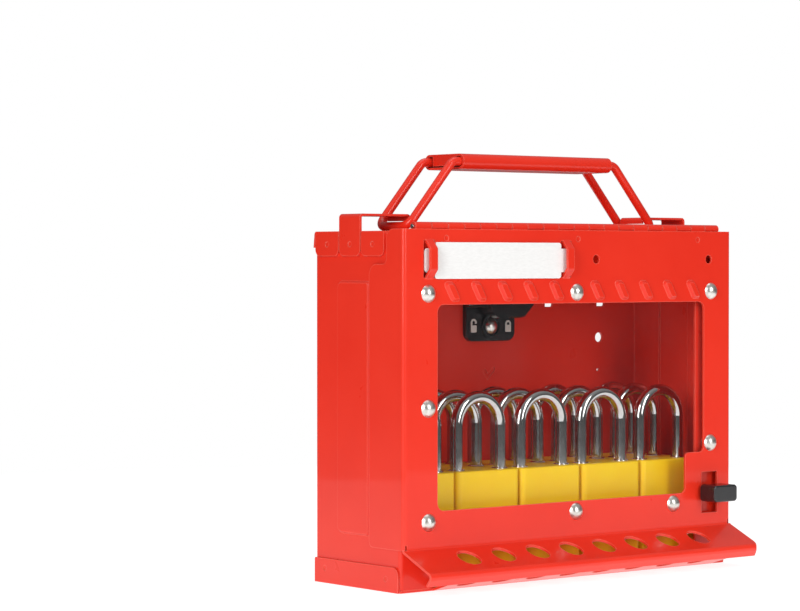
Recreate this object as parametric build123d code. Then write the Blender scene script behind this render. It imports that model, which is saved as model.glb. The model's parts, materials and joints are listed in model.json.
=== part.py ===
from build123d import *
import math
import os

# Portable group lockout box in folded sheet steel, closed and standing on its base.
# X runs along the width, Z is up, and the door faces -Y.
# Depths are measured back from the door's front face, and export() moves them so that
# the origin is the centre of the base.

os.makedirs("parts", exist_ok=True)

# ---- driving dimensions, mm ----
SHEET = 1.2                     # all folded panels
BEND = 0.9                      # inside radius of a fold
DOOR_W = 228.6                  # over the door's side flanges
CASE_W = 225.6                  # over the case sides
DEPTH = 74.0                    # door face to the back of the case
CASE_H = 179.6                  # top skin of the case
DOOR_TOP = 180.5
FOLD_Z = 21.4                   # where the door folds out into the padlock rail
CASE_FRONT = 4.0                # front skin of the case's return flanges
RETURN_W = 21.5                 # width of the case's two front return flanges
FLANGE_D = 27.5                 # depth of the door's side flanges
FLANGE_TOP_D = 13.5             # their depth beside the top tabs
FLANGE_STEP_Z = 163.0
EMBOSS_RISE = 1.1               # of the raised rectangle on each case side

# padlock rail
RAIL_OUT = 23.0                 # how far the rail stands out of the door
RAIL_NOSE_Z = 11.0
RAIL_TIP = (-18.6, 5.4)         # end of the rail's return, depth and height
LOWER_TIP = (-17.2, 6.6)        # end of the lower leaf's bottom skin
LOWER_X = (-92.5, 103.0)
RAIL_HOLES = 8
RAIL_PITCH = 22.9
RAIL_HOLE_R = 6.2
RAIL_HOLE_Y = -9.8

# window, its pane and its rivets
WINDOW_X = (-92.4, 93.9)
WINDOW_Z = (40.0, 142.7)
WINDOW_NOTCH = (80.0, 61.6)     # the corner cut away above the latch
PANE_T = 1.6
PANE_X = (-104.6, 105.4)
PANE_Z = (28.6, 154.4)
PANE_NOTCH = (84.5, 57.0)
RIVETS = [(-98.3, 148.3), (1.4, 148.3), (99.3, 148.3), (-98.3, 91.2), (98.9, 66.2),
          (-98.1, 34.5), (0.8, 34.6), (71.2, 34.6)]
RIVET_HEAD_R = 4.5
RIVET_HEAD_H = 2.7
RIVET_SHANK_R = 2.4
RIVET_TAIL_R = 3.6
RIVET_TAIL_H = 0.8

# label holder
LOOP_X = [-97.8, -6.4]          # centres of the two bridges
LOOP_W = 4.7
LOOP_HOLE_W = 7.2
LOOP_Z = (155.6, 175.4)
LOOP_RISE = 4.0
LOOP_SLOPE = 4.6                # height of each sloping end of a bridge
CARD_T = 0.7
CARD_Z = (155.6, 173.9)
CARD_TAB_Z = (158.8, 170.9)

# pressed stripes, spot welds and the two small holes above the window
STRIPE_STARTS = [-89.1, 9.5]
STRIPE_PITCH = 17.5
STRIPES_PER_ROW = 5
STRIPE_Z = (144.3, 154.2)
STRIPE_W = 6.6
STRIPE_SLANT = 5.6
STRIPE_RISE = 1.6
STRIPE_BEVEL = 1.35
SEAL_HOLES = [(14.8, 165.4), (97.4, 165.4)]
SEAL_HOLE_R = 2.25
DOOR_WELDS = [(-86.6, 175.9), (2.1, 175.9), (89.2, 175.9)]
WELD_R = 1.4
WELD_DEPTH = 0.35

# quarter-turn latch
LATCH_X, LATCH_Z = 98.3, 39.5
LATCH_SLOT = (11.8, 22.1)       # width and height of the slot in the door
KNOB_W, KNOB_H = 17.3, 9.0
KNOB_FRONT, KNOB_BACK = -12.7, -1.9
LATCH_SPINDLE_R = 1.95
FIT = 0.05                      # radial clearance of every running fit

# hinge along the top front edge
HINGE_X = (-105.6, 106.4)
HINGE_KNUCKLES = 20
BARREL_R = 2.2
PIN_R = 1.1
LEAF_T = 0.9
HINGE_Y = SHEET + BARREL_R
HINGE_Z = CASE_H + BARREL_R

# handle
ROD_R = 2.3
ROD_Y = (31.5, 56.0)
CROSSBAR_X = 85.8
CROSSBAR_Z = CASE_H + ROD_R + 0.3
GRIP_HALF = 52.0
GRIP_Z = 215.9
GRIP_H = 8.0
GRIP_W = 32.0
STRAP_Y = (35.2, 52.4)
STRAP_TOP = 188.4
STRAP_END_X = 81.3
STRAP_LIP = 3.5
TAB_Z = 167.0

# back wall and the inside lock
WALL_HOLE_X, WALL_HOLE_Z, WALL_HOLE_R = 84.2, 122.0, 2.7
HOOK_SLOTS_X = [-84.3, -45.6, 45.6, 84.3]
HOOK_SLOT_Z = (139.4, 153.4)
HOOK_SLOT_W = 7.8
LOCK_X = 2.4
LOCK_W = 34.6
LOCK_Z = (121.4, 166.0)
LOCK_T = 2.8
LOCK_PIVOT_Z = 143.0
LOCK_RIVET_Z = 129.2
LOCK_HUB_R = 9.4
LOCK_GAP = 1.6                  # between the plate and the knob's hub
ICON_X = 12.2

# stored padlocks
PADLOCK_PITCH = 43.0
PADLOCK_FIRST_X = -90.4
PADLOCK_W, PADLOCK_D = 41.8, 18.2
PADLOCK_Z = (1.5, 57.5)
PADLOCK_ROWS_Y = [22.0, 40.7, 59.4]
PADLOCK_COLS = 5
SHACKLE_R = 3.175
SHACKLE_SPAN = 29.0
SHACKLE_TOP = 97.8


# ---- shape helpers ----
def block(xs, ys, zs):
    """A plain box between two corners."""
    pairs = (xs, ys, zs)
    size = [hi - lo for lo, hi in pairs]
    centre = [(hi + lo) / 2 for lo, hi in pairs]
    return Pos(*centre) * Box(*size)


def bar_x(y, z, radius, xs):
    return Pos(sum(xs) / 2, y, z) * Rot(0, 90, 0) * Cylinder(radius, xs[1] - xs[0])


def bar_y(x, z, radius, ys):
    return Pos(x, sum(ys) / 2, z) * Rot(90, 0, 0) * Cylinder(radius, ys[1] - ys[0])


def bar_z(x, y, radius, zs):
    return Pos(x, y, sum(zs) / 2) * Cylinder(radius, zs[1] - zs[0])


def outline(points):
    return make_face(Polyline(*points, close=True))


def nearest(shape, point):
    """The vertex of a flat shape that lies closest to a 2-D point."""
    return min(shape.vertices(), key=lambda v: math.hypot(v.X - point[0], v.Y - point[1]))


def rounded(points, radii):
    """A polygon with a radius at each corner; 0 leaves the corner sharp."""
    face = outline(points)
    for point, radius in zip(points, radii):
        if radius:
            face = fillet(nearest(face, point), radius)
    return face


def across_x(face, xs):
    """Extrudes a (depth, height) face along X."""
    return Pos(xs[0], 0, 0) * extrude(Plane.YZ * face, amount=xs[1] - xs[0])


def across_y(face, ys):
    """Extrudes a (width, height) face along the depth."""
    return Pos(0, ys[0], 0) * extrude(Plane.XZ * face, amount=-(ys[1] - ys[0]))


def across_z(face, zs):
    """Extrudes a (width, depth) face upwards."""
    return Pos(0, 0, zs[0]) * extrude(face, amount=zs[1] - zs[0])


def folded(path, side, thickness=SHEET, bend=BEND):
    """The section of a folded sheet. path is one skin; the sheet lies to its left
    for side 1 and to its right for side -1, and every fold is rounded."""
    steps = [(b[0] - a[0], b[1] - a[1]) for a, b in zip(path, path[1:])]
    units = [(dx / math.hypot(dx, dy), dy / math.hypot(dx, dy)) for dx, dy in steps]
    normals = [(-uy * side, ux * side) for ux, uy in units]
    other = [offset_point(path[0], normals[0], normals[0], thickness)]
    for i in range(1, len(path) - 1):
        other.append(offset_point(path[i], normals[i - 1], normals[i], thickness))
    other.append(offset_point(path[-1], normals[-1], normals[-1], thickness))
    face = outline(path + other[::-1])
    for i in range(1, len(path) - 1):
        (ax, ay), (bx, by) = units[i - 1], units[i]
        sheet_inside = (ax * by - ay * bx) * side > 0
        path_radius = bend + thickness if sheet_inside else bend
        other_radius = bend if sheet_inside else bend + thickness
        face = fillet(nearest(face, path[i]), path_radius)
        face = fillet(nearest(face, other[i]), other_radius)
    return face


def offset_point(point, normal_a, normal_b, thickness):
    """The mitred offset of a path's corner."""
    mx, my = normal_a[0] + normal_b[0], normal_a[1] + normal_b[1]
    scale = 2 * thickness / (mx * mx + my * my)
    return (point[0] + mx * scale, point[1] + my * scale)


def with_mirror(part, solid):
    """The part with a left-hand piece and its right-hand mirror image added."""
    return part + solid + mirror(solid, about=Plane.YZ)


def export(name, shape):
    """Writes one sub-part, with the centre of the base at the origin."""
    moved = Pos(0, -DEPTH / 2, 0) * shape
    export_step(moved, f"parts/{name}.step")


# ---- case ----
def side_emboss():
    """Raised rectangle on the left case side, behind the door's flange."""
    skin = -CASE_W / 2
    face = rounded([(28.6, 26.6), (55.0, 26.6), (55.0, 154.4), (28.6, 154.4)], [2, 4, 4, 2])
    pad = across_x(face, (skin - EMBOSS_RISE, skin + SHEET / 2))
    rim = pad.faces().sort_by(Axis.X)[0].edges()
    pad = chamfer(rim, 0.9)
    recess = rounded([(30.6, 28.6), (53.0, 28.6), (53.0, 152.4), (30.6, 152.4)], [1, 3, 3, 1])
    return pad, across_x(recess, (skin + SHEET - EMBOSS_RISE, skin + SHEET))


def back_shell():
    half = CASE_W / 2
    skin = [(half - RETURN_W, CASE_FRONT), (half, CASE_FRONT), (half, DEPTH), (-half, DEPTH),
            (-half, CASE_FRONT), (-half + RETURN_W, CASE_FRONT)]
    shell = across_z(folded(skin, 1), (SHEET, CASE_H - SHEET))
    pad, recess = side_emboss()
    shell = with_mirror(shell, pad) - recess - mirror(recess, about=Plane.YZ)
    wall = (DEPTH - 3, DEPTH + 1)
    for x in (-WALL_HOLE_X, WALL_HOLE_X):
        shell -= bar_y(x, WALL_HOLE_Z, WALL_HOLE_R, wall)
    for x in HOOK_SLOTS_X:
        shell -= hook_slot(x, wall)
    shell -= bar_y(83.5, 103.9, 0.8, wall)
    shell -= bar_y(LOCK_X, LOCK_RIVET_Z, RIVET_SHANK_R, wall)
    shell -= bar_y(LOCK_X, LOCK_PIVOT_Z, 4.0 + FIT, wall)
    shell -= tick_groove()
    shell -= bar_y(LATCH_X, LATCH_Z, LATCH_SPINDLE_R + FIT, (0, 10))
    return shell


def hook_slot(x, wall):
    """Upright slot for a wall hook, with a small step at its lower left."""
    low, high = HOOK_SLOT_Z
    half = HOOK_SLOT_W / 2
    face = rounded([(x - half, low + 1.8), (x - half + 2.2, low + 1.8), (x - half + 2.2, low),
                    (x + half, low), (x + half, high), (x - half, high)], [0, 0, 0, 1, 1, 1])
    return across_y(face, wall)


def tick_groove():
    """Tick mark stamped half-way through the middle of the back wall from inside."""
    points = [(-0.9, 105.2), (0.9, 106.4), (2.6, 103.6), (6.7, 107.4), (8.1, 106.0), (2.5, 100.2)]
    return across_y(outline(points), (DEPTH - SHEET - 1, DEPTH - SHEET / 2))


def side_tab(y0, y1, low, high, radii):
    """Welded tab on the outside of the left case side, with rounded free corners."""
    face = rounded([(y0, low), (y1, low), (y1, high), (y0, high)], radii)
    return across_x(face, (-CASE_W / 2 - SHEET, -CASE_W / 2))


def weld_dimple(y, z):
    """Shallow round dimple in the outer skin of a left tab."""
    skin = -CASE_W / 2 - SHEET
    return bar_x(y, z, WELD_R, (skin - 1, skin + WELD_DEPTH))


def top_panel():
    half = CASE_W / 2
    plate = block((-half, half), (6.8, DEPTH), (CASE_H - SHEET, CASE_H))
    hook_skin = [(DEPTH - 8, CASE_H), (DEPTH + 2.0, CASE_H), (DEPTH + 2.9, CASE_H - 8.2)]
    hook = across_x(folded(hook_skin, -1, bend=0.5), (-half + 1, half - 1))
    panel = plate + hook
    for y0, y1 in ((15.9, 34.6), (53.0, DEPTH - 1.6)):
        tab = side_tab(y0, y1, TAB_Z, CASE_H, [3.5, 3.5, 0, 0]) - weld_dimple((y0 + y1) / 2, 173.0)
        panel = with_mirror(panel, tab)
    return panel


def rail_hole_centres():
    first = -RAIL_PITCH * (RAIL_HOLES - 1) / 2
    return [first + RAIL_PITCH * i for i in range(RAIL_HOLES)]


def bottom_panel():
    half = CASE_W / 2
    plate = block((-half, half), (CASE_FRONT, DEPTH), (0, SHEET))
    leaf = across_x(folded([(20, 0), (CASE_FRONT - 0.5, 0), LOWER_TIP], -1), LOWER_X)
    rear = block((-half + 6, half - 6), (DEPTH, DEPTH + SHEET), (0, 12.5))
    tab = side_tab(4.8, DEPTH - 0.9, 0, 12.6, [0, 0, 1, 4]) - weld_dimple(14.6, 6.4) - weld_dimple(64.5, 7.6)
    panel = with_mirror(plate + leaf + rear, tab)
    for x in rail_hole_centres():
        panel -= bar_z(x, RAIL_HOLE_Y, RAIL_HOLE_R, (-1, 20))
    return panel


def handle_strap():
    """Left strap: welded tab, riser, and a top run whose end is turned down over the rod."""
    side = -CASE_W / 2 - SHEET
    skin = [(side, TAB_Z), (side, STRAP_TOP), (-STRAP_END_X, STRAP_TOP),
            (-STRAP_END_X, STRAP_TOP - STRAP_LIP)]
    strap = across_y(folded(skin, -1), STRAP_Y)
    low_corners = strap.edges().filter_by(Axis.X).group_by(Axis.Z)[0]
    strap = fillet(low_corners, 3.5)
    return strap - weld_dimple(sum(STRAP_Y) / 2, 173.0)


# ---- hinge ----
def knuckle_spans(first):
    """Every second knuckle's X range, with a small gap at each end."""
    pitch = (HINGE_X[1] - HINGE_X[0]) / HINGE_KNUCKLES
    starts = [HINGE_X[0] + pitch * i for i in range(first, HINGE_KNUCKLES, 2)]
    return [(x + 0.15, x + pitch - 0.15) for x in starts]


def barrel(xs):
    return bar_x(HINGE_Y, HINGE_Z, BARREL_R, xs) - bar_x(HINGE_Y, HINGE_Z, PIN_R + FIT, xs)


def hinge_leaf_case():
    """Leaf on the top panel, its fingers running tangent under the barrel."""
    heights = (CASE_H, CASE_H + LEAF_T)
    leaf = block(HINGE_X, (HINGE_Y + BARREL_R + 0.5, 19.0), heights)
    for span in knuckle_spans(1):
        finger = block(span, (HINGE_Y, HINGE_Y + BARREL_R + 1.0), heights)
        bore = bar_x(HINGE_Y, HINGE_Z, PIN_R + FIT, span)
        leaf += barrel(span) + (finger - bore)
    return leaf


def hinge_leaf_door():
    """Leaf behind the door, its fingers running tangent up the front of the barrel."""
    depths = (SHEET, SHEET + LEAF_T)
    leaf = block(HINGE_X, depths, (168.6, HINGE_Z - BARREL_R - 0.5))
    for span in knuckle_spans(0):
        finger = block(span, depths, (HINGE_Z - BARREL_R - 1.0, HINGE_Z))
        leaf += barrel(span) + finger
    return leaf


def hinge_pin():
    return bar_x(HINGE_Y, HINGE_Z, PIN_R, (HINGE_X[0] - 0.6, HINGE_X[1] + 0.6))


# ---- door ----
def window_cut():
    (x0, x1), (z0, z1) = WINDOW_X, WINDOW_Z
    notch_x, notch_z = WINDOW_NOTCH
    points = [(x0, z0), (notch_x, z0), (notch_x, notch_z), (x1, notch_z), (x1, z1), (x0, z1)]
    return across_y(rounded(points, [4, 3, 2.5, 3, 4, 4]), (-1, 5))


def door_tray():
    """The door's face and side flanges, trimmed to the flanges' stepped side outline."""
    half = DOOR_W / 2
    skin = [(-half, FLANGE_D), (-half, 0), (half, 0), (half, FLANGE_D)]
    tray = across_z(folded(skin, 1), (FOLD_Z, DOOR_TOP))
    points = [(-5, FOLD_Z), (FLANGE_D, FOLD_Z), (FLANGE_D, FLANGE_STEP_Z),
              (FLANGE_TOP_D, FLANGE_STEP_Z), (FLANGE_TOP_D, DOOR_TOP), (-5, DOOR_TOP)]
    side = rounded(points, [0, 3, 6, 3, 5, 0])
    return tray & across_x(side, (-half - 1, half + 1))


def padlock_rail():
    """Folded rail along the door's lower edge, with a rolled nose."""
    half = DOOR_W / 2
    skin = [(0, 30), (0, FOLD_Z), (-RAIL_OUT, RAIL_NOSE_Z), RAIL_TIP]
    rail = across_x(folded(skin, 1, bend=1.4), (-half, half))
    for sign in (-1, 1):
        ends = sorted((sign * (half - 2.3), sign * (half + 1)))
        rail -= block(ends, (-1, 3), (FOLD_Z + 0.2, 31))
    upright = rounded([(-30, 2), (-30, FOLD_Z + 20), (10, FOLD_Z + 20), (10, 2)], [0, 0, 0, 0])
    plan = rounded([(-half, 10), (-half, -RAIL_OUT - 1), (half, -RAIL_OUT - 1), (half, 10)], [0, 3, 7, 0])
    rail = rail & across_x(upright, (-half, half)) & across_z(plan, (0, 40))
    for x in rail_hole_centres():
        rail -= bar_z(x, RAIL_HOLE_Y, RAIL_HOLE_R, (0, 30))
    return rail


def label_loop(x):
    """Bridge lanced out of the door, open at both sides."""
    low, high = LOOP_Z
    skin = [(0, low - 2), (0, low), (-LOOP_RISE, low + LOOP_SLOPE), (-LOOP_RISE, high - LOOP_SLOPE),
            (0, high), (0, high + 2)]
    return across_x(folded(skin, -1, bend=0.6), (x - LOOP_W / 2, x + LOOP_W / 2))


def stripe(x):
    """Pressed stripe: a bevelled parallelogram that leans to the right going down."""
    low, high = STRIPE_Z
    points = [(x, high), (x + STRIPE_W, high), (x + STRIPE_W + STRIPE_SLANT, low),
              (x + STRIPE_SLANT, low)]
    solid = across_y(rounded(points, [1.7, 3.0, 1.7, 3.0]), (-STRIPE_RISE, SHEET / 2))
    rim = solid.faces().sort_by(Axis.Y)[0].edges()
    return chamfer(rim, STRIPE_BEVEL)


def door_panel():
    door = door_tray() - block((-113, 113), (-1, 2), (0, 24)) + padlock_rail() - window_cut()
    for x in LOOP_X:
        door -= block((x - LOOP_HOLE_W / 2, x + LOOP_HOLE_W / 2), (-1, 3), (LOOP_Z[0] + 0.6, LOOP_Z[1] - 0.6))
        door += label_loop(x)
    for start in STRIPE_STARTS:
        for i in range(STRIPES_PER_ROW):
            door += stripe(start + STRIPE_PITCH * i)
    for x, z in SEAL_HOLES:
        door -= bar_y(x, z, SEAL_HOLE_R, (-1, 3))
    for x, z in DOOR_WELDS:
        door -= bar_y(x, z, WELD_R, (-1, WELD_DEPTH))
    for x, z in RIVETS:
        door -= bar_y(x, z, RIVET_SHANK_R, (-1, 3))
    wide, tall = LATCH_SLOT
    door -= block((LATCH_X - wide / 2, LATCH_X + wide / 2), (-1, 3), (LATCH_Z - tall / 2, LATCH_Z + tall / 2))
    return door


def window_pane():
    (x0, x1), (z0, z1) = PANE_X, PANE_Z
    notch_x, notch_z = PANE_NOTCH
    points = [(x0, z0), (notch_x, z0), (notch_x, notch_z), (x1, notch_z), (x1, z1), (x0, z1)]
    pane = across_y(rounded(points, [4, 4, 2, 4, 4, 4]), (SHEET, SHEET + PANE_T))
    for x, z in RIVETS:
        pane -= bar_y(x, z, RIVET_SHANK_R, (0, 5))
    return pane


def rivet(x, z):
    """Domed head in front, shank through the door and pane, flat tail behind."""
    dome_r = (RIVET_HEAD_R ** 2 + RIVET_HEAD_H ** 2) / (2 * RIVET_HEAD_H)
    dome = Pos(x, dome_r - RIVET_HEAD_H, z) * Sphere(dome_r)
    dome = dome & block((x - 6, x + 6), (-6, 0), (z - 6, z + 6))
    back = SHEET + PANE_T
    shank = bar_y(x, z, RIVET_SHANK_R, (0, back))
    tail = bar_y(x, z, RIVET_TAIL_R, (back, back + RIVET_TAIL_H))
    return dome + shank + tail


def window_rivets():
    return Compound(children=[rivet(x, z) for x, z in RIVETS])


def label_card():
    """Card whose narrow end tabs slip under the two bridges."""
    depths = (-CARD_T - 0.1, -0.1)
    x0, x1 = LOOP_X[0] + LOOP_HOLE_W / 2 - 0.5, LOOP_X[1] - LOOP_HOLE_W / 2 - 0.5
    low, high = CARD_Z
    card = across_y(rounded([(x0, low), (x1, low), (x1, high), (x0, high)], [1.6] * 4), depths)
    t0, t1 = x0 - 6.4, x1 + 5.5
    low, high = CARD_TAB_Z
    tab = across_y(rounded([(t0, low), (t1, low), (t1, high), (t0, high)], [1.8, 1.8, 1.8, 1.8]), depths)
    return card + tab


# ---- latch ----
def latch_knob():
    """Glossy bar knob on a round neck that stands on the case's return flange."""
    bar = block((LATCH_X - KNOB_W / 2, LATCH_X + KNOB_W / 2), (KNOB_FRONT, KNOB_BACK),
                (LATCH_Z - KNOB_H / 2, LATCH_Z + KNOB_H / 2))
    bar = fillet(bar.edges().filter_by(Axis.Y), 2.0)
    bar = fillet(bar.faces().sort_by(Axis.Y)[0].edges(), 0.9)
    neck = bar_y(LATCH_X, LATCH_Z, 4.2, (KNOB_BACK - 1, CASE_FRONT - 0.5))
    bore = bar_y(LATCH_X, LATCH_Z, LATCH_SPINDLE_R, (-8, CASE_FRONT))
    return bar + neck - bore


def latch_spindle():
    return bar_y(LATCH_X, LATCH_Z, LATCH_SPINDLE_R, (-8, 10.0))


def latch_washer():
    """Friction washer fixed to the back of the return flange."""
    back = CASE_FRONT + SHEET
    ring = bar_y(LATCH_X, LATCH_Z, 5.0, (back, back + 0.8))
    return ring - bar_y(LATCH_X, LATCH_Z, LATCH_SPINDLE_R + FIT, (back - 1, back + 2))


def latch_nut():
    front = CASE_FRONT + SHEET + 0.9
    hexagon = Plane.XZ * RegularPolygon(3.9, 6)
    nut = Pos(LATCH_X, front, LATCH_Z) * extrude(hexagon, amount=-3.0)
    return nut - bar_y(LATCH_X, LATCH_Z, LATCH_SPINDLE_R, (front - 1, front + 5))


# ---- handle ----
def rod_run(y):
    """Centre line of one rod from the left crossbar, over the top, to the right one."""
    return [(-CROSSBAR_X, y, CROSSBAR_Z), (-GRIP_HALF - 4.5, y, GRIP_Z),
            (GRIP_HALF + 4.5, y, GRIP_Z), (CROSSBAR_X, y, CROSSBAR_Z)]


def handle_wire():
    """One closed loop of round rod."""
    front, rear = rod_run(ROD_Y[0]), rod_run(ROD_Y[1])
    loop = FilletPolyline(*(front + rear[::-1]), radius=5.5, close=True)
    start = Plane(loop @ 0, z_dir=loop % 0)
    return sweep(start * Circle(ROD_R), path=loop)


def handle_grip():
    """Flattened sheet sleeve round both rods, with a folded flap between them at each end."""
    centre = sum(ROD_Y) / 2
    outer = Plane.YZ * Pos(centre, GRIP_Z) * SlotOverall(GRIP_W, GRIP_H)
    inner = Plane.YZ * Pos(centre, GRIP_Z) * SlotOverall(GRIP_W - 2 * SHEET, GRIP_H - 2 * SHEET)
    sleeve = extrude(outer, amount=2 * GRIP_HALF) - extrude(inner, amount=2 * GRIP_HALF)
    sleeve = Pos(-GRIP_HALF, 0, 0) * sleeve
    gap = ROD_Y[1] - ROD_Y[0] - 2 * ROD_R - 1.6
    for sign in (-1, 1):
        xs = sorted((sign * GRIP_HALF, sign * (GRIP_HALF - SHEET)))
        low = GRIP_Z - GRIP_H / 2 + SHEET + 0.7
        sleeve += block(xs, (centre - gap / 2, centre + gap / 2), (low, GRIP_Z + GRIP_H / 2 - SHEET / 2))
    return sleeve


# ---- inside lock ----
def lock_base():
    """Moulded plate on the back wall with a collar round its fixing rivet."""
    x0, x1 = LOCK_X - LOCK_W / 2, LOCK_X + LOCK_W / 2
    low, high = LOCK_Z
    wall = DEPTH - SHEET
    front = wall - LOCK_T
    plate = across_y(rounded([(x0, low), (x1, low), (x1, high), (x0, high)], [5, 5, 5, 5]), (front, wall))
    plate = chamfer(plate.faces().sort_by(Axis.Y)[0].edges(), 0.4)
    collar = bar_y(LOCK_X, LOCK_RIVET_Z, 7.0, (front - 1.4, front))
    collar -= bar_y(LOCK_X, LOCK_RIVET_Z, 5.0, (front - 2, front))
    base = plate + collar
    base -= bar_y(LOCK_X, LOCK_RIVET_Z, RIVET_SHANK_R, (front - 5, wall + 1))
    return base - bar_y(LOCK_X, LOCK_PIVOT_Z, 4.0 + FIT, (front - 5, wall + 1))


def lock_rivet():
    front = DEPTH - SHEET - LOCK_T
    dome_r = (4.6 ** 2 + 2.6 ** 2) / (2 * 2.6)
    dome = Pos(LOCK_X, front + dome_r - 2.6, LOCK_RIVET_Z) * Sphere(dome_r)
    half = LOCK_X - 6, LOCK_X + 6
    dome = dome & block(half, (front - 4, front), (LOCK_RIVET_Z - 6, LOCK_RIVET_Z + 6))
    shank = bar_y(LOCK_X, LOCK_RIVET_Z, RIVET_SHANK_R, (front, DEPTH))
    return dome + shank


def padlock_icon(x, z, opened):
    """Small raised padlock sign: a body and a closed or swung-open shackle."""
    front = DEPTH - SHEET - LOCK_T
    ys = (front - 0.25, front)
    body = across_y(rounded([(x - 2, z - 3), (x + 2, z - 3), (x + 2, z + 0.8), (x - 2, z + 0.8)], [0.5] * 4), ys)
    top = z + (2.3 if opened else 1.3)
    bow = bar_y(x, top, 2.0, ys) - bar_y(x, top, 1.0, (front - 1, front + 1))
    bow &= block((x - 3, x + 3), ys, (top - (0.6 if opened else 0.9), top + 3))
    leg = block((x - 2, x - 1), ys, (z + 0.7, top))
    icon = body + bow + leg
    if not opened:
        icon += block((x + 1, x + 2), ys, (z + 0.7, top))
    return icon


def lock_icons():
    z = LOCK_RIVET_Z
    return Compound(children=[padlock_icon(LOCK_X - ICON_X, z, True), padlock_icon(LOCK_X + ICON_X, z, False)])


def lock_knob():
    """Round hub with one broad wing to the right and a slim bar to the left."""
    back = DEPTH - SHEET - LOCK_T - LOCK_GAP
    low = LOCK_HUB_R - 0.3
    hub = bar_y(0, 0, LOCK_HUB_R, (back - 9.0, back))
    wing_face = rounded([(0, -low), (13.0, -low), (17.0, -low + 0.6), (23.5, -2.2), (23.5, 2.2),
                         (17.0, low - 0.6), (13.0, low), (0, low)], [0, 1, 2, 1.5, 1.5, 2, 1, 0])
    wing = across_y(wing_face, (back - 8.0, back - 1.4))
    wing = chamfer(wing.faces().sort_by(Axis.Y)[0].edges(), 1.0)
    bar_face = rounded([(0, -3.6), (-21.5, -3.2), (-21.5, 3.2), (0, 3.6)], [0, 2, 2, 0])
    bar = across_y(bar_face, (back - 6.5, back - 2.0))
    bar = chamfer(bar.faces().sort_by(Axis.Y)[0].edges(), 0.8)
    knob = hub + wing + bar - bar_y(0, 0, 4.0, (back - 6, back + 1))
    return Pos(LOCK_X, 0, LOCK_PIVOT_Z) * knob


def lock_spindle():
    """Shaft through the plate and the back wall."""
    front = DEPTH - SHEET - LOCK_T - LOCK_GAP - 6
    return bar_y(LOCK_X, LOCK_PIVOT_Z, 4.0, (front, DEPTH + 0.35))


def lock_cam():
    """Flat hook behind the back wall that takes hold of a wall bracket."""
    face = rounded([(-5.5, -5.5), (15, -5.5), (15, -1.0), (9.5, 5.5), (-5.5, 5.5)], [4, 1, 1, 2, 4])
    return Pos(LOCK_X, 0, LOCK_PIVOT_Z) * across_y(face, (DEPTH + 0.35, DEPTH + 1.85))


# ---- stored padlocks ----
def padlock_places():
    columns = [PADLOCK_FIRST_X + PADLOCK_PITCH * i for i in range(PADLOCK_COLS)]
    return [(x, y) for y in PADLOCK_ROWS_Y for x in columns]


def padlock_body(x, y):
    half_w, half_d = PADLOCK_W / 2, PADLOCK_D / 2
    body = block((x - half_w, x + half_w), (y - half_d, y + half_d), PADLOCK_Z)
    body = fillet(body.edges().filter_by(Axis.Z), 3.0)
    return chamfer(body.faces().sort_by(Axis.Z)[-1].edges(), 0.6)


def padlock_shackle(x, y):
    half = SHACKLE_SPAN / 2
    low = PADLOCK_Z[1]
    spring = SHACKLE_TOP - SHACKLE_R - half
    left = Line((x - half, y, low), (x - half, y, spring))
    bow = ThreePointArc((x - half, y, spring), (x, y, spring + half), (x + half, y, spring))
    right = Line((x + half, y, spring), (x + half, y, low))
    return sweep(Pos(x - half, y, low) * Circle(SHACKLE_R), path=left + bow + right)


def padlock_bodies():
    return Compound(children=[padlock_body(x, y) for x, y in padlock_places()])


def padlock_shackles():
    return Compound(children=[padlock_shackle(x, y) for x, y in padlock_places()])


# ---- write every sub-part ----
export("back_shell", back_shell())
export("top_panel", top_panel())
export("bottom_panel", bottom_panel())
left_strap = handle_strap()
export("handle_strap_left", left_strap)
export("handle_strap_right", mirror(left_strap, about=Plane.YZ))
export("hinge_leaf_case", hinge_leaf_case())
export("hinge_leaf_door", hinge_leaf_door())
export("hinge_pin", hinge_pin())
export("door_panel", door_panel())
export("window_pane", window_pane())
export("window_rivets", window_rivets())
export("label_card", label_card())
export("latch_knob", latch_knob())
export("latch_spindle", latch_spindle())
export("latch_washer", latch_washer())
export("latch_nut", latch_nut())
export("handle_wire", handle_wire())
export("handle_grip", handle_grip())
export("lock_base", lock_base())
export("lock_rivet", lock_rivet())
export("lock_icons", lock_icons())
export("lock_knob", lock_knob())
export("lock_spindle", lock_spindle())
export("lock_cam", lock_cam())
export("padlock_bodies", padlock_bodies())
export("padlock_shackles", padlock_shackles())
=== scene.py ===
"""Portable group lockout box: looks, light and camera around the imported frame.

The frame holds every shape that moves or fits. This script gives each node its
material, adds the small details, and sets the floor, the light and the camera.
"""
import json
import math

import bmesh
import bpy
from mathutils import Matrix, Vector


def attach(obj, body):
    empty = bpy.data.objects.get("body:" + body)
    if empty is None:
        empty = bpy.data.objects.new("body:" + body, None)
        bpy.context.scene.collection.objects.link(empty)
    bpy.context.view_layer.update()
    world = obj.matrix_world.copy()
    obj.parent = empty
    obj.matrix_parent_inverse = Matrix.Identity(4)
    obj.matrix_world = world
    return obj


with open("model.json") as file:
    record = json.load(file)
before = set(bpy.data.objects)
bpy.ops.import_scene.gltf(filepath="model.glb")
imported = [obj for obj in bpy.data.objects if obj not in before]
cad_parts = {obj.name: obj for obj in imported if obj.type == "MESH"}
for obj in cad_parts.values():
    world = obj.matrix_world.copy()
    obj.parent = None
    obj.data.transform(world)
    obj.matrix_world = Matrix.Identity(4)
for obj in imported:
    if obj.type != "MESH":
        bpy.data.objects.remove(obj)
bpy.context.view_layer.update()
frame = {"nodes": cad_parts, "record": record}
nodes = frame["nodes"]
record = frame["record"]
MM = 0.001

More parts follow.
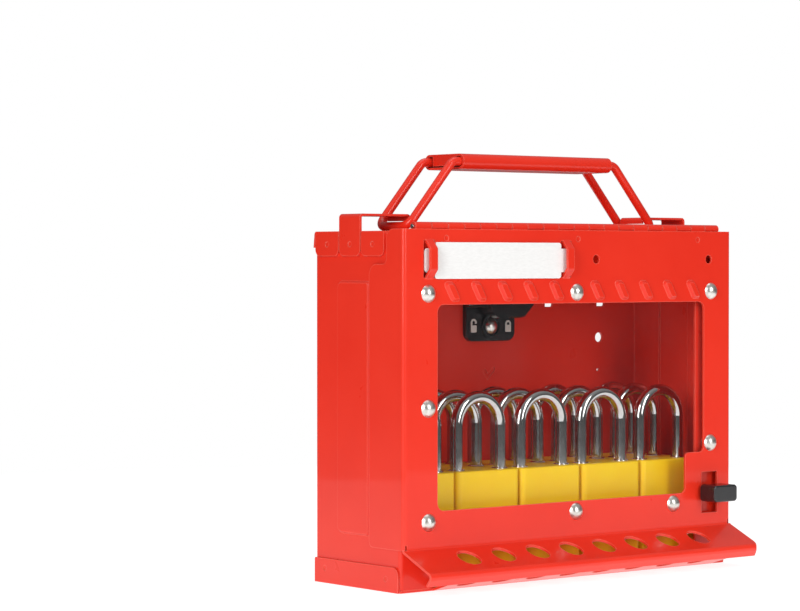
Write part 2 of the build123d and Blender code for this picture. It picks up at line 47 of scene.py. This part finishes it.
# stored padlocks, mm, in the frame's own coordinates
PADLOCK_FIRST_X = -90.4
PADLOCK_PITCH = 43.0
PADLOCK_COLS = 5
PADLOCK_ROWS_Y = [-15.0, 3.7, 22.4]
PADLOCK_TOP = 57.5
SHACKLE_SPAN = 29.0
COLLAR_RADIUS = 3.75
COLLAR_SECTION_RADIUS = 0.55

# material helpers
BEVEL_SAMPLES = 4
RAMP_START = 0.3
RAMP_END = 0.7

# cosine between the bevelled and the plain normal
FLAT_COSINE = 1.0
SHARP_COSINE = 0.8

# the Mix node keeps a set of sockets for each data type
MIX_COLOUR_A = 6
MIX_COLOUR_B = 7
MIX_COLOUR_RESULT = 2
MIX_VALUE_FACTOR = 0
MIX_VALUE_A = 2
MIX_VALUE_B = 3
MIX_VALUE_RESULT = 0

# floor and backdrop, in metres and strengths
FLOOR_RADIUS = 0.75
FLOOR_SEGMENTS = 96
FLOOR_DROP = 0.1 * MM  # keeps the floor clear of the box's base
GLOW_AT_HORIZON = 0.10
GLOW_OVERHEAD = 0.45
BACKDROP_STRENGTH = 1.0
LIGHT_TARGET = (0, 0, 0.10)

# camera
CAMERA_PLACE = (-0.9480, -1.0750, 0.1640)
CAMERA_YAW = math.radians(38.7)
CAMERA_PITCH = math.radians(0.92)
CAMERA_LENS = 121.8
CAMERA_SENSOR = 36.0
CAMERA_CLIP_START = 0.05
CAMERA_CLIP_END = 50


# ---- node helpers ----
class Paint:
    """A Principled material with short helpers for its procedural inputs.

    Keywords set the shader's own sockets, with an underscore for each space.
    """

    def __init__(self, name, **sockets):
        self.material = bpy.data.materials.new(name)
        self.material.use_nodes = True
        self.tree = self.material.node_tree
        self.bsdf = self.tree.nodes["Principled BSDF"]
        for socket, value in sockets.items():
            self.bsdf.inputs[socket.replace("_", " ")].default_value = value
        coords = self.tree.nodes.new("ShaderNodeTexCoord")
        self.place = coords.outputs["Object"]

    def add(self, kind, **settings):
        node = self.tree.nodes.new(kind)
        for name, value in settings.items():
            setattr(node, name, value)
        return node

    def join(self, source, target):
        self.tree.links.new(source, target)

    def noise(self, size, detail=3.0, roughness=0.5, stretch=(1, 1, 1)):
        """Noise whose features are about size metres across."""
        mapping = self.add("ShaderNodeMapping")
        mapping.inputs["Scale"].default_value = stretch
        self.join(self.place, mapping.inputs["Vector"])
        texture = self.add("ShaderNodeTexNoise")
        texture.inputs["Scale"].default_value = 1 / size
        texture.inputs["Detail"].default_value = detail
        texture.inputs["Roughness"].default_value = roughness
        self.join(mapping.outputs["Vector"], texture.inputs["Vector"])
        return texture.outputs["Fac"]

    def ramp(self, factor, low, high):
        """Blends from the low colour to the high one."""
        node = self.add("ShaderNodeValToRGB")
        node.color_ramp.elements[0].position = RAMP_START
        node.color_ramp.elements[0].color = (*low, 1)
        node.color_ramp.elements[1].position = RAMP_END
        node.color_ramp.elements[1].color = (*high, 1)
        self.join(factor, node.inputs["Fac"])
        return node.outputs["Color"]

    def spread(self, factor, low, high):
        """Maps a 0 to 1 factor onto low to high."""
        node = self.add("ShaderNodeMapRange")
        node.inputs["To Min"].default_value = low
        node.inputs["To Max"].default_value = high
        self.join(factor, node.inputs["Value"])
        return node.outputs["Result"]

    def edge_mask(self, radius):
        """1 on sharp edges and 0 on flats, from the difference a small bevel makes."""
        bevel = self.add("ShaderNodeBevel", samples=BEVEL_SAMPLES)
        bevel.inputs["Radius"].default_value = radius
        plain = self.add("ShaderNodeNewGeometry")
        dot = self.add("ShaderNodeVectorMath", operation="DOT_PRODUCT")
        self.join(bevel.outputs["Normal"], dot.inputs[0])
        self.join(plain.outputs["Normal"], dot.inputs[1])
        flip = self.add("ShaderNodeMapRange")
        flip.inputs["From Min"].default_value = FLAT_COSINE
        flip.inputs["From Max"].default_value = SHARP_COSINE
        self.join(dot.outputs["Value"], flip.inputs["Value"])
        return flip.outputs["Result"]

    def bumps(self, *layers, edge=0.0):
        """Stacks (height, strength, distance) bumps, over edges rounded by edge metres."""
        normal = None
        if edge:
            bevel = self.add("ShaderNodeBevel", samples=BEVEL_SAMPLES)
            bevel.inputs["Radius"].default_value = edge
            normal = bevel.outputs["Normal"]
        for height, strength, distance in layers:
            bump = self.add("ShaderNodeBump")
            bump.inputs["Strength"].default_value = strength
            bump.inputs["Distance"].default_value = distance
            self.join(height, bump.inputs["Height"])
            if normal:
                self.join(normal, bump.inputs["Normal"])
            normal = bump.outputs["Normal"]
        self.join(normal, self.bsdf.inputs["Normal"])

    def mix(self, factor, source, colour):
        """Blends from a linked colour to a fixed one."""
        node = self.add("ShaderNodeMix", data_type="RGBA")
        self.join(factor, node.inputs["Factor"])
        self.join(source, node.inputs[MIX_COLOUR_A])
        node.inputs[MIX_COLOUR_B].default_value = (*colour, 1)
        return node.outputs[MIX_COLOUR_RESULT]

    def set_colour(self, source):
        self.join(source, self.bsdf.inputs["Base Color"])

    def set_roughness(self, factor, low, high):
        """Lets a 0 to 1 factor vary the roughness from low to high."""
        self.join(self.spread(factor, low, high), self.bsdf.inputs["Roughness"])


# ---- materials ----
def red_paint():
    """Glossy powder coat: faint orange peel, slow colour drift, and a painted highlight of
    paler colour on sharp edges.
    """
    paint = Paint(
        "red_paint",
        Coat_Weight=0.26,
        Coat_Roughness=0.045,
        IOR=1.45,
        Specular_IOR_Level=0.32,
    )
    drift = paint.noise(0.060, detail=4)
    colour = paint.ramp(drift, (0.775, 0.026, 0.010), (0.835, 0.034, 0.014))
    # painted highlight: sharp edges get a paler, pinker red
    paler_edges = paint.mix(paint.edge_mask(0.7 * MM), colour, (0.94, 0.170, 0.120))
    paint.set_colour(paler_edges)
    paint.set_roughness(paint.noise(0.012), 0.24, 0.36)
    peel = paint.noise(1.6 * MM, detail=2)
    waves = paint.noise(9 * MM, detail=1)
    paint.bumps((waves, 0.25, 0.12 * MM), (peel, 0.18, 0.05 * MM), edge=0.35 * MM)
    return paint.material


def plated_steel():
    """Chrome plated steel with fine grain and a few smudges."""
    clean = (0.66, 0.65, 0.64)
    smudged = tuple(channel * 0.86 for channel in clean)
    paint = Paint("plated_steel", Metallic=1.0)
    smudge = paint.noise(6 * MM, detail=5, roughness=0.6)
    paint.set_colour(paint.ramp(smudge, smudged, clean))
    paint.set_roughness(smudge, 0.05, 0.11)
    scratch = paint.noise(0.5 * MM, detail=2, stretch=(1, 1, 0.12))
    paint.bumps((scratch, 0.10, 0.02 * MM), edge=0.2 * MM)
    return paint.material


def rivet_metal():
    """Tumbled aluminium rivet heads: small dents under a satin sheen."""
    paint = Paint("rivet_metal", Metallic=1.0)
    stain = paint.noise(2.2 * MM, detail=4)
    paint.set_colour(paint.ramp(stain, (0.60, 0.58, 0.53), (0.83, 0.81, 0.77)))
    paint.set_roughness(paint.noise(1.2 * MM), 0.20, 0.42)
    dents = paint.noise(2.6 * MM, detail=2)
    pits = paint.noise(0.5 * MM, detail=2)
    paint.bumps((dents, 0.5, 0.25 * MM), (pits, 0.2, 0.04 * MM))
    return paint.material


def black_plastic():
    """Gloss black moulding with a fine texture and greyer sharp edges."""
    paint = Paint("black_plastic", IOR=1.5, Coat_Weight=0.25, Coat_Roughness=0.1)
    fine = paint.noise(0.6 * MM, detail=3)
    colour = paint.ramp(fine, (0.008, 0.008, 0.009), (0.020, 0.020, 0.022))
    # greyer colour on sharp edges
    greyer_edges = paint.mix(paint.edge_mask(0.4 * MM), colour, (0.045, 0.045, 0.048))
    paint.set_colour(greyer_edges)
    paint.set_roughness(paint.noise(4 * MM), 0.14, 0.30)
    paint.bumps((fine, 0.12, 0.03 * MM), edge=0.3 * MM)
    return paint.material


def yellow_body():
    """Satin yellow padlock bodies with a slight mottling."""
    paint = Paint(
        "yellow_body",
        IOR=1.45,
        Coat_Weight=0.1,
        Coat_Roughness=0.15,
        Specular_IOR_Level=0.4,
    )
    drift = paint.noise(0.018, detail=4)
    colour = paint.ramp(drift, (0.98, 0.62, 0.006), (1.0, 0.68, 0.010))
    # paler yellow on sharp edges
    paler_edges = paint.mix(paint.edge_mask(0.5 * MM), colour, (1.0, 0.70, 0.06))
    paint.set_colour(paler_edges)
    paint.set_roughness(paint.noise(5 * MM), 0.30, 0.42)
    paint.bumps((paint.noise(0.9 * MM), 0.12, 0.04 * MM), edge=0.4 * MM)
    return paint.material


def white_card():
    """Smooth white label stock with a faint fibre."""
    paint = Paint("white_card", IOR=1.45, Coat_Weight=0.3, Coat_Roughness=0.2)
    fibre = paint.noise(0.8 * MM, detail=5, stretch=(0.3, 1, 1))
    paint.set_colour(paint.ramp(fibre, (0.86, 0.855, 0.84), (0.92, 0.915, 0.90)))
    paint.set_roughness(fibre, 0.32, 0.45)
    paint.bumps((fibre, 0.08, 0.02 * MM), edge=0.2 * MM)
    return paint.material


def clear_plastic():
    """Clear polycarbonate sheet: nearly invisible, with soft reflections and faint haze."""
    paint = Paint("clear_plastic", IOR=1.5, Alpha=0.035)
    haze = paint.noise(0.03, detail=4)
    paint.set_colour(paint.ramp(haze, (0.08, 0.08, 0.085), (0.16, 0.165, 0.17)))
    paint.set_roughness(haze, 0.03, 0.07)
    return paint.material


def nylon():
    """Off-white nylon of the latch's friction washer."""
    paint = Paint("washer_nylon", IOR=1.5)
    mottle = paint.noise(1 * MM)
    paint.set_colour(paint.ramp(mottle, (0.66, 0.64, 0.58), (0.76, 0.74, 0.68)))
    paint.set_roughness(mottle, 0.40, 0.55)
    return paint.material


def icon_print():
    """Off-white printed signs on the black plate."""
    paint = Paint("icon_print", IOR=1.45)
    grain = paint.noise(0.4 * MM)
    paint.set_colour(paint.ramp(grain, (0.60, 0.58, 0.53), (0.76, 0.74, 0.69)))
    paint.set_roughness(grain, 0.40, 0.60)
    return paint.material


def floor_paint():
    """White studio floor that glows a little, so that only contact shadows show on it."""
    paint = Paint(
        "studio_floor",
        Roughness=0.7,
        Emission_Color=(1, 1, 1, 1),
        Emission_Strength=0.86,
    )
    grain = paint.noise(0.4, detail=2)
    paint.set_colour(paint.ramp(grain, (0.38, 0.38, 0.38), (0.40, 0.40, 0.40)))
    return paint.material


SLOT_MATERIALS = {
    "red_paint": red_paint(),
    "plated_steel": plated_steel(),
    "rivet_metal": rivet_metal(),
    "black_plastic": black_plastic(),
    "washer_nylon": nylon(),
    "icon_print": icon_print(),
    "clear_plastic": clear_plastic(),
    "white_card": white_card(),
    "yellow_body": yellow_body(),
}


def dress_cad_nodes():
    """Gives each node of the frame the material of its slot."""
    for entry in record["subparts"]:
        node = nodes[entry["node"]]
        node.data.materials.clear()
        node.data.materials.append(SLOT_MATERIALS[entry["material_slot"]])


# ---- fine details that ride on the frame ----
def ring(mesh, centre, radius, section_radius, turns=24, sides=8):
    """Adds a flat-lying torus to a bmesh."""
    rows = []
    for i in range(turns):
        around = 2 * math.pi * i / turns
        row = []
        for j in range(sides):
            section = 2 * math.pi * j / sides
            reach = radius + section_radius * math.cos(section)
            x = reach * math.cos(around)
            y = reach * math.sin(around)
            z = section_radius * math.sin(section)
            row.append(mesh.verts.new(Vector(centre) + Vector((x, y, z))))
        rows.append(row)
    for i in range(turns):
        here = rows[i]
        there = rows[(i + 1) % turns]
        for j in range(sides):
            k = (j + 1) % sides
            mesh.faces.new((here[j], there[j], there[k], here[k])).smooth = True


def new_piece(name, mesh, slot_name, body):
    """Turns a bmesh into a piece that wears a slot's material and rides on a body."""
    bmesh.ops.recalc_face_normals(mesh, faces=mesh.faces)
    data = bpy.data.meshes.new(name)
    mesh.to_mesh(data)
    mesh.free()
    data.materials.append(SLOT_MATERIALS[slot_name])
    piece = bpy.data.objects.new(name, data)
    bpy.context.scene.collection.objects.link(piece)
    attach(piece, body)


def shackle_collars():
    """Thin plated rings where the shackles enter the padlock bodies."""
    mesh = bmesh.new()
    for y in PADLOCK_ROWS_Y:
        for column in range(PADLOCK_COLS):
            middle = PADLOCK_FIRST_X + PADLOCK_PITCH * column
            for side in (-1, 1):
                place = Vector((middle + side * SHACKLE_SPAN / 2, y, PADLOCK_TOP)) * MM
                ring(mesh, place, COLLAR_RADIUS * MM, COLLAR_SECTION_RADIUS * MM)
    new_piece("shackle_collars", mesh, "plated_steel", "case")


# ---- floor, light and camera ----
def floor():
    """A round white floor. Beyond it the backdrop looks as white, but lights far less."""
    mesh = bmesh.new()
    bmesh.ops.create_circle(mesh, cap_ends=True, radius=FLOOR_RADIUS, segments=FLOOR_SEGMENTS)
    data = bpy.data.meshes.new("studio_floor")
    mesh.to_mesh(data)
    mesh.free()
    data.materials.append(floor_paint())
    disc = bpy.data.objects.new("studio_floor", data)
    disc.location.z = -FLOOR_DROP
    bpy.context.scene.collection.objects.link(disc)


def area_light(name, place, size, power):
    """A soft white rectangular lamp aimed at the middle of the box."""
    light = bpy.data.lights.new(name, "AREA")
    light.shape = "RECTANGLE"
    light.size, light.size_y = size
    light.energy = power
    lamp = bpy.data.objects.new(name, light)
    lamp.location = place
    aim = Vector(LIGHT_TARGET) - Vector(place)
    lamp.rotation_euler = aim.to_track_quat("-Z", "Y").to_euler()
    bpy.context.scene.collection.objects.link(lamp)


def studio_world():
    """A white backdrop behind the object; as a light it is dim, and brighter overhead."""
    world = bpy.data.worlds.new("studio")
    world.use_nodes = True
    tree = world.node_tree
    backdrop = tree.nodes["Background"]
    direction = tree.nodes.new("ShaderNodeTexCoord")
    height = tree.nodes.new("ShaderNodeSeparateXYZ")
    tree.links.new(direction.outputs["Generated"], height.inputs["Vector"])
    glow = tree.nodes.new("ShaderNodeMapRange")
    glow.inputs["To Min"].default_value = GLOW_AT_HORIZON
    glow.inputs["To Max"].default_value = GLOW_OVERHEAD
    tree.links.new(height.outputs["Z"], glow.inputs["Value"])
    path = tree.nodes.new("ShaderNodeLightPath")
    strength = tree.nodes.new("ShaderNodeMix")
    strength.inputs[MIX_VALUE_B].default_value = BACKDROP_STRENGTH
    tree.links.new(path.outputs["Is Camera Ray"], strength.inputs[MIX_VALUE_FACTOR])
    tree.links.new(glow.outputs["Result"], strength.inputs[MIX_VALUE_A])
    tree.links.new(strength.outputs[MIX_VALUE_RESULT], backdrop.inputs["Strength"])
    backdrop.inputs["Color"].default_value = (1, 1, 1, 1)
    bpy.context.scene.world = world


def studio_light():
    """Tall soft lamps at the left and in front, and a weak one overhead; watts last."""
    area_light("key_left", (-1.5, -0.65, 0.62), (0.5, 1.1), 14)
    area_light("fill_front", (0.15, -1.75, 0.72), (0.6, 1.2), 13)
    area_light("top", (0, 0.1, 1.4), (1.0, 0.8), 4)


def camera():
    """A long lens at the front left, level with the upper part of the box."""
    data = bpy.data.cameras.new("camera")
    data.sensor_width = CAMERA_SENSOR
    data.lens = CAMERA_LENS
    data.clip_start = CAMERA_CLIP_START
    data.clip_end = CAMERA_CLIP_END
    cam = bpy.data.objects.new("camera", data)
    cam.location = CAMERA_PLACE
    level = math.cos(CAMERA_PITCH)
    forward = Vector((
        math.sin(CAMERA_YAW) * level,
        math.cos(CAMERA_YAW) * level,
        -math.sin(CAMERA_PITCH),
    ))
    cam.rotation_euler = forward.to_track_quat("-Z", "Y").to_euler()
    bpy.context.scene.collection.objects.link(cam)
    bpy.context.scene.camera = cam


dress_cad_nodes()
shackle_collars()
floor()
studio_world()
studio_light()
camera()
bpy.context.scene.view_settings.view_transform = "Standard"
